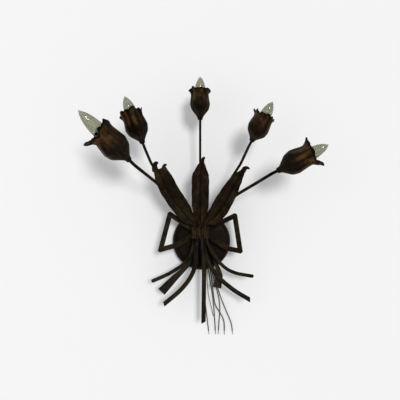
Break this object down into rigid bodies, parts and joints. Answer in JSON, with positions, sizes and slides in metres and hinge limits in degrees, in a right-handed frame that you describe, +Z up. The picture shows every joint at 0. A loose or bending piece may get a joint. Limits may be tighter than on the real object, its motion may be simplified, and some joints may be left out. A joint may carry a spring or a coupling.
{
  "type": "wall light",
  "caption": "Wall light shaped as a bound bunch of iron tulips with candle bulbs, creased leaves, folded straps and fanned stem ends on a round cover.",
  "frame": {"origin": "on the wall, midway between the two slots of the mounting bar and behind the centre of the round cover", "axes": "+Z up, -Y out of the wall towards the room, +X to the right as seen from the room"},
  "size_m": [0.4603, 0.2138, 0.5512],
  "materials": {
    "iron": "dark brown patina over hand-hammered iron sheet",
    "iron_cup": "dark brown patina with copper and rust bloom near the torn rims",
    "iron_leaf": "bronze brown and olive patina, brushed along the leaf",
    "canopy_iron": "purple brown dull paint over spun steel",
    "steel": "zinc plated, dull",
    "brass": "plain, slightly tarnished",
    "socket": "moulded phenolic, dark",
    "glass": "clear blown glass",
    "filament": "fine wire on a clear glass stem",
    "sleeve": "woven glass sleeving",
    "lead_cover": "olive brown insulation, aged",
    "copper": "bare stranded copper"
  },
  "bodies": {
    "root": {"canopy": "canopy_iron", "mounting_bar": "steel", "threaded_rod": "steel", "rod_nuts": "steel", "ground_screw": "brass", "wire_sleeve": "sleeve", "wire_block": "canopy_iron", "band": "iron_leaf", "stem_outer_left": "iron", "cup_outer_left": "iron_cup", "socket_outer_left": "socket", "stem_inner_left": "iron", "cup_inner_left": "iron_cup", "socket_inner_left": "socket", "stem_centre": "iron", "cup_centre": "iron_cup", "socket_centre": "socket", "stem_inner_right": "iron", "cup_inner_right": "iron_cup", "socket_inner_right": "socket", "stem_outer_right": "iron", "cup_outer_right": "iron_cup", "socket_outer_right": "socket", "socket_shells": "brass", "socket_contacts": "brass", "leaf_centre": "iron_leaf", "leaf_left": "iron_leaf", "leaf_right": "iron_leaf", "strap_left": "iron", "strap_right": "iron", "tail_left_upper": "iron", "tail_left_lower": "iron", "tail_middle": "iron", "tail_right_upper": "iron", "tail_right_lower": "iron", "blade_left": "iron", "blade_right": "iron", "lead_a": "lead_cover", "lead_ground": "copper", "lead_b": "lead_cover", "lead_c": "lead_cover", "lead_d": "lead_cover", "lead_e": "lead_cover", "lead_tips": "copper"},
    "bulb_outer_left": {"bulb_glass_outer_left": "glass", "bulb_cap_outer_left": "brass", "bulb_filament_outer_left": "filament"},
    "bulb_inner_left": {"bulb_glass_inner_left": "glass", "bulb_cap_inner_left": "brass", "bulb_filament_inner_left": "filament"},
    "bulb_centre": {"bulb_glass_centre": "glass", "bulb_cap_centre": "brass", "bulb_filament_centre": "filament"},
    "bulb_inner_right": {"bulb_glass_inner_right": "glass", "bulb_cap_inner_right": "brass", "bulb_filament_inner_right": "filament"},
    "bulb_outer_right": {"bulb_glass_outer_right": "glass", "bulb_cap_outer_right": "brass", "bulb_filament_outer_right": "filament"}
  },
  "joints": [
    {"name": "bulb_outer_left_out", "type": "slide", "parent": "root", "child": "bulb_outer_left", "axis": [-0.6359, -0.4264, 0.6433], "range_m": [0, 0.062]},
    {"name": "bulb_inner_left_out", "type": "slide", "parent": "root", "child": "bulb_inner_left", "axis": [-0.3017, -0.4224, 0.8548], "range_m": [0, 0.055]},
    {"name": "bulb_centre_out", "type": "slide", "parent": "root", "child": "bulb_centre", "axis": [0, -0.2534, 0.9674], "range_m": [0, 0.061]},
    {"name": "bulb_inner_right_out", "type": "slide", "parent": "root", "child": "bulb_inner_right", "axis": [0.4138, -0.4249, 0.8051], "range_m": [0, 0.054]},
    {"name": "bulb_outer_right_out", "type": "slide", "parent": "root", "child": "bulb_outer_right", "axis": [0.8041, -0.4227, 0.4181], "range_m": [0, 0.051]}
  ]
}
